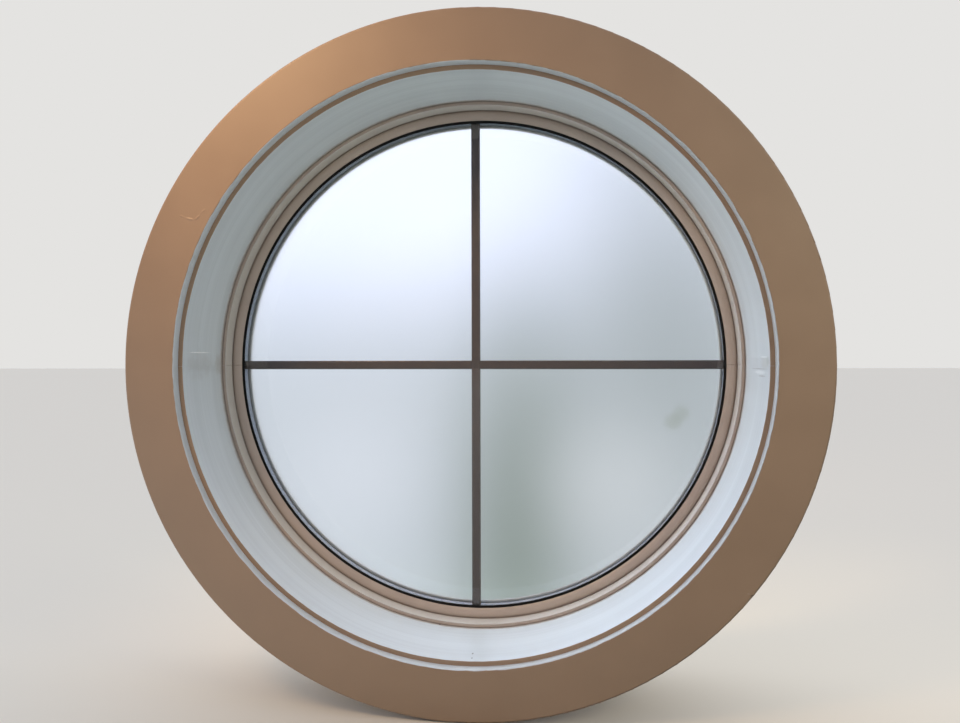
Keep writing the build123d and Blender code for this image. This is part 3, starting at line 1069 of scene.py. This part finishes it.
@dataclass
class GlazedUnit(SubAssembly):
    """The sealed unit with its panes, spacer and seals, and what beds it in the frame."""

    nodes: dict[str, str] = field(
        default_factory=lambda: {
            "inner_pane": "clear_glass", "outer_pane": "frosted_glass",
            "spacer_bar": "spacer_aluminium", "spacer_key": "clip_nylon",
            "desiccant_fill": "desiccant", "butyl_seal_inner": "butyl",
            "butyl_seal_outer": "butyl", "edge_sealant": "sealant",
            "glazing_gasket": "gasket_rubber", "glazing_tape": "tape_foam",
            "setting_block_left": "block_rubber", "setting_block_right": "block_rubber",
        }
    )


@dataclass
class Grille(SubAssembly):
    """The cross of flat bronze bars between the panes."""

    nodes: dict[str, str] = field(
        default_factory=lambda: {
            "muntin_vertical": "muntin_bronze", "muntin_horizontal": "muntin_bronze",
            "muntin_clip_right": "clip_nylon", "muntin_clip_top": "clip_nylon",
            "muntin_clip_left": "clip_nylon", "muntin_clip_bottom": "clip_nylon",
        }
    )


@dataclass
class JambScrews(SubAssembly):
    """Pan head screws with a cross recess and a rolled thread, in place of the plain solids.

    The head's outline is its height and radius, from the middle of its top down to its seat.
    """

    count: int = 8
    seat_radius_mm: float = 435.7
    depth_mm: float = -41.6
    head_outline_mm: tuple[tuple[float, float], ...] = (
        (2.4, 0.0), (2.4, 1.87), (2.064, 2.89), (1.2, 3.349), (0.25, 3.4), (0.0, 3.298),
    )
    core_diameter_mm: float = 2.5
    thread_diameter_mm: float = 3.4
    thread_pitch_mm: float = 1.4
    length_mm: float = 18.0
    point_mm: float = 3.0
    recess_width_mm: float = 0.9
    recess_length_mm: float = 3.4
    recess_depth_mm: float = 1.3
    thread_start_mm: float = 0.8
    thread_runout_mm: float = 1.2
    tooth_mm: float = 0.7
    tooth_root_mm: float = 0.1
    turned_steps: int = 32
    thread_steps: int = 16

    def build(self, palette: Palette) -> None:
        """Builds one screw and sets it round the ring.

        Args:
            palette: material for each slot.
        """
        single = self.one_screw()
        ring = bmesh.new()
        for index in range(self.count):
            angle = math.tau * (index + 0.5) / self.count
            turn = Matrix.Rotation(-angle, 4, "Y") @ Matrix.Translation(
                Vector((self.seat_radius_mm, self.depth_mm, 0)) * MM
            )
            copy = single.copy()
            copy.transform(turn)
            ring.from_mesh(copy)
            bpy.data.meshes.remove(copy)
        bpy.data.meshes.remove(single)
        piece = new_piece("jamb_screws_threaded", ring, "fastener_steel", palette)
        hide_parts("jamb_screws")

    def one_screw(self) -> bpy.types.Mesh:
        """Builds a screw whose head's seat is at the origin and whose point runs along -X.

        Returns:
            The screw's mesh, in metres.
        """
        form = bmesh.new()
        core = self.core_diameter_mm / 2
        outline = [
            *self.head_outline_mm, (0.0, core), (self.point_mm - self.length_mm, core),
            (-self.length_mm, 0.0),
        ]
        verts = [form.verts.new(Vector((x, y, 0)) * MM) for x, y in outline]
        edges = [form.edges.new(pair) for pair in zip(verts, verts[1:])]
        bmesh.ops.spin(
            form, geom=verts + edges, cent=(0, 0, 0), axis=(1, 0, 0), angle=math.tau,
            steps=self.turned_steps, use_merge=True, use_duplicate=False,
        )
        bmesh.ops.remove_doubles(form, verts=form.verts, dist=0.001 * MM)
        bmesh.ops.recalc_face_normals(form, faces=form.faces)
        whole = bmesh.new()
        whole.from_mesh(self.with_recess(mesh_of("screw_plain", form)))
        self.add_thread(whole)
        for face in whole.faces:
            face.smooth = True
        return mesh_of("screw", whole)

    def with_recess(self, plain: bpy.types.Mesh) -> bpy.types.Mesh:
        """Cuts the cross recess into the head.

        Args:
            plain: the screw without it.

        Returns:
            A new mesh with the recess.
        """
        cutter = bmesh.new()
        size = Vector((self.recess_depth_mm * 2, self.recess_width_mm, self.recess_length_mm)) * MM
        top = self.head_outline_mm[0][0]
        slot = Matrix.Translation(Vector((top, 0, 0)) * MM) @ Matrix.Diagonal((*size, 1.0))
        for angle in (0.0, math.pi / 2):
            turn = Matrix.Rotation(angle, 4, "X")
            bmesh.ops.create_cube(cutter, size=1.0, matrix=turn @ slot)
        screw = placed("screw_work", plain)
        tool = placed("recess_work", mesh_of("recess_cutter", cutter))
        cut = screw.modifiers.new("recess", "BOOLEAN")
        cut.operation = "DIFFERENCE"
        cut.solver = "EXACT"
        cut.use_self = True
        cut.object = tool
        graph = bpy.context.evaluated_depsgraph_get()
        result = bpy.data.meshes.new_from_object(screw.evaluated_get(graph))
        for part in (screw, tool):
            mesh = part.data
            bpy.data.objects.remove(part)
            bpy.data.meshes.remove(mesh)
        return result

    def add_thread(self, form: bmesh.types.BMesh) -> None:
        """Winds the thread's ridge round the core.

        Args:
            form: bmesh of the screw.
        """
        core = self.core_diameter_mm / 2
        crest = self.thread_diameter_mm / 2
        root = core - self.tooth_root_mm
        start = -self.thread_start_mm
        turns = (self.length_mm - self.point_mm - self.thread_runout_mm) / self.thread_pitch_mm
        tooth = [(start, root), (start - self.tooth_mm / 2, crest), (start - self.tooth_mm, root)]
        verts = [form.verts.new(Vector((x, y, 0)) * MM) for x, y in tooth]
        face = form.faces.new(verts)
        steps = int(turns * self.thread_steps)
        bmesh.ops.spin(
            form, geom=[face, *face.edges, *face.verts], cent=(0, 0, 0), axis=(1, 0, 0),
            dvec=Vector((-self.thread_pitch_mm / self.thread_steps, 0, 0)) * MM,
            angle=math.tau * steps / self.thread_steps, steps=steps, use_merge=False,
            use_duplicate=False,
        )


@dataclass(frozen=True)
class SkyPatch:
    """A soft patch of the outdoors, placed by the sideways and upward parts of a direction.

    Its colour is light, as linear red, green and blue.
    """

    centre: tuple[float, float]
    reach: tuple[float, float]
    colour: tuple[float, float, float]


SKY_PATCHES: tuple[SkyPatch, ...] = (
    # Grey at the right, dark green low beside the bar, two pale ones, and pale green low left.
    SkyPatch((0.16, -0.01), (0.26, 0.62), (0.49, 0.55, 0.56)),
    SkyPatch((-0.055, -0.29), (0.145, 0.60), (0.20, 0.26, 0.20)),
    SkyPatch((0.08, -0.18), (0.15, 0.15), (0.80, 0.85, 0.87)),
    SkyPatch((-0.28, -0.16), (0.15, 0.15), (0.87, 0.93, 1.00)),
    SkyPatch((-0.37, -0.50), (0.70, 0.23), (0.80, 1.00, 0.90)),
)


@dataclass(frozen=True)
class SoftLamp:
    """A round soft lamp, its aim and how widely it spreads, in degrees."""

    name: str
    place_mm: tuple[float, float, float]
    aim_mm: tuple[float, float, float]
    size_mm: float
    watts: float
    spread: float
    colour: str


@dataclass
class Studio:
    """The camera at the photograph's place, the floor, the lamps and the world.

    The daylight's colours are light, as linear red, green and blue, and may be brighter than 1.
    """

    camera_mm: tuple[float, float, float] = (129.4, -1140.5, 12.8)
    yaw: float = -6.196
    pitch: float = -0.369
    roll: float = -0.13
    focal_px: float = 700.0
    clip_m: tuple[float, float] = (0.02, 200.0)
    floor: MattFloor = MattFloor("floor", "pale matt floor", "#e5dbc7", 0.0)
    floor_mm: float = -494.3
    floor_size_mm: float = 60000.0
    lamps: tuple[SoftLamp, ...] = (
        SoftLamp(
            "key", place_mm=(-740.0, -900.0, 1000.0), aim_mm=(-285.0, -185.0, 345.0),
            size_mm=500.0, watts=1.5, spread=58.0, colour="#ffd3a0",
        ),
        SoftLamp(
            "fill", place_mm=(1100.0, -900.0, 500.0), aim_mm=(450.0, -185.0, 0.0),
            size_mm=500.0, watts=1.7, spread=120.0, colour="#fff6d0",
        ),
    )
    air_seen: str = "#e4e3e1"
    room_low: str = "#b0b8cd"
    room_high: str = "#b1b9d0"
    room_in_gloss: float = 0.35
    ground: tuple[float, float, float] = (0.36, 0.40, 0.37)
    haze: tuple[float, float, float] = (0.72, 0.79, 0.85)
    sky: tuple[float, float, float] = (1.25, 1.35, 1.6)
    open_sky: tuple[float, float, float] = (5.3, 5.7, 6.7)
    shaded_sky: tuple[float, float, float] = (0.85, 0.62, 0.35)
    out_of_doors: tuple[float, float] = (-0.3, 0.3)
    room_rise: tuple[float, float] = (-0.3, 0.6)
    ground_rise: tuple[float, float] = (-0.8, -0.3)
    sky_rise: tuple[float, float] = (-0.05, 0.21)
    sky_sides: tuple[float, float] = (-0.6, 0.6)

    def build(self) -> None:
        """Sets up everything round the window."""
        self.add_camera()
        self.add_floor()
        for lamp in self.lamps:
            self.add_lamp(lamp)
        self.add_world()
        bpy.context.scene.view_settings.view_transform = "Standard"
        LOG.info("set up the studio")

    def add_camera(self) -> None:
        """Adds the camera and makes it the scene's own."""
        data = bpy.data.cameras.new("camera")
        data.sensor_width = SENSOR_WIDTH
        data.lens = self.focal_px * SENSOR_WIDTH / PHOTO_WIDTH
        data.clip_start, data.clip_end = self.clip_m
        yaw, pitch, roll = (math.radians(a) for a in (self.yaw, self.pitch, self.roll))
        ahead = Vector(
            (math.sin(yaw) * math.cos(pitch), math.cos(yaw) * math.cos(pitch), math.sin(pitch))
        )
        level = Vector((math.cos(yaw), -math.sin(yaw), 0))
        over = level.cross(ahead)
        right = level * math.cos(roll) + over * math.sin(roll)
        up = over * math.cos(roll) - level * math.sin(roll)
        turn = Matrix((right, up, -ahead)).transposed().to_4x4()
        camera = placed("camera", data)
        camera.matrix_world = Matrix.Translation(Vector(self.camera_mm) * MM) @ turn
        bpy.context.scene.camera = camera

    def add_floor(self) -> None:
        """Adds the floor that the casing stands on."""
        form = bmesh.new()
        lift = Matrix.Translation(Vector((0, 0, self.floor_mm)) * MM)
        bmesh.ops.create_grid(
            form, x_segments=1, y_segments=1, size=self.floor_size_mm / 2 * MM, matrix=lift
        )
        mesh = mesh_of("floor", form)
        mesh.materials.append(self.floor.material())
        floor = placed("floor", mesh)

    def add_lamp(self, lamp: SoftLamp) -> None:
        """Adds one soft lamp.

        Args:
            lamp: its place, aim, size, power, spread and colour.
        """
        data = bpy.data.lights.new(lamp.name, "AREA")
        data.shape = "DISK"
        data.size = lamp.size_mm * MM
        data.energy = lamp.watts
        data.spread = math.radians(lamp.spread)
        data.color = linear(lamp.colour)[:3]
        spot = Vector(lamp.place_mm) * MM
        ahead = Vector(lamp.aim_mm) * MM - spot
        turn = ahead.to_track_quat("-Z", "Y").to_matrix().to_4x4()
        placed(lamp.name, data).matrix_world = Matrix.Translation(spot) @ turn

    def add_world(self) -> None:
        """Adds the world: pale to the camera, daylight through the glass, soft light elsewhere."""
        world = bpy.data.worlds.new("studio")
        bpy.context.scene.world = world
        world.use_nodes = True
        tree = world.node_tree
        tree.nodes.clear()
        path = add_node(tree, "ShaderNodeLightPath").outputs
        diffuse = path["Is Diffuse Ray"]
        direction = add_node(tree, "ShaderNodeTexCoord").outputs["Generated"]
        sideways, out, height = add_node(
            tree, "ShaderNodeSeparateXYZ", {"Vector": direction}
        ).outputs
        # A ray that has passed a pane on its way from a lit surface counts as inside.
        through_panes = add_node(
            tree, "ShaderNodeMath", {0: path["Transparent Depth"], 1: 0.5},
            operation="GREATER_THAN",
        )
        on_the_inside = add_node(
            tree, "ShaderNodeMath", {0: diffuse, 1: through_panes}, operation="MULTIPLY"
        )
        low, high, seen = (
            linear(colour) for colour in (self.room_low, self.room_high, self.air_seen)
        )
        room = laid_over(tree, low, high, (height, *self.room_rise))
        # Gloss meets a dimmer room than the one that lights the surfaces.
        dim = add_node(
            tree, "ShaderNodeMath", {0: diffuse, 1: self.room_in_gloss}, operation="MAXIMUM"
        )
        room_shown = add_node(tree, "ShaderNodeVectorMath", {0: room, 3: dim}, operation="SCALE")
        daylight = self.daylight(tree, direction, sideways, height, on_the_inside)
        light = laid_over(tree, room_shown, daylight, (out, *self.out_of_doors))
        shown = laid_over(tree, light, seen, most=path["Is Camera Ray"])
        air = add_node(tree, "ShaderNodeBackground", {"Color": shown, "Strength": 1.0})
        add_node(tree, "ShaderNodeOutputWorld", {"Surface": air})

    def daylight(
        self, tree: Tree, direction: Source, sideways: Source, height: Source,
        on_the_inside: Source,
    ) -> Node:
        """Adds the daylight: ground, haze and sky, with the patches that the glass blurs.

        Args:
            tree: node tree of the world.
            direction: where a ray goes.
            sideways: its part to the right.
            height: its upward part.
            on_the_inside: 1 for the rays that light a surface through the panes, which meet the
                blue of the open sky at the left and shade at the right.

        Returns:
            The daylight's colour.
        """
        ground, haze, sky, open_sky, shade = (
            (*colour, 1.0)
            for colour in (self.ground, self.haze, self.sky, self.open_sky, self.shaded_sky)
        )
        lit = laid_over(tree, open_sky, shade, (sideways, *self.sky_sides))
        overhead = laid_over(tree, sky, lit, most=on_the_inside)
        colour = laid_over(tree, ground, haze, (height, *self.ground_rise))
        colour = laid_over(tree, colour, overhead, (height, *self.sky_rise))
        for patch in SKY_PATCHES:
            middle = (patch.centre[0], 0.0, patch.centre[1])
            stretch = (1 / patch.reach[0], 0.0, 1 / patch.reach[1])
            away = away_from(tree, direction, middle, stretch)
            colour = laid_over(tree, colour, (*patch.colour, 1.0), (away, 1.0, 0.0))
        return colour


def main() -> None:
    """Builds and dresses the sub-assemblies in order."""
    logging.basicConfig(level=logging.INFO, format="%(message)s")
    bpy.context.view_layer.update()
    palette = {finish.slot: finish.material() for finish in FINISHES}
    for part in (Casing(), JambLiner(), VinylFrame(), GlazedUnit(), Grille(), JambScrews()):
        part.dress(palette)
        part.build(palette)
    Studio().build()


if __name__ == "__main__":
    main()
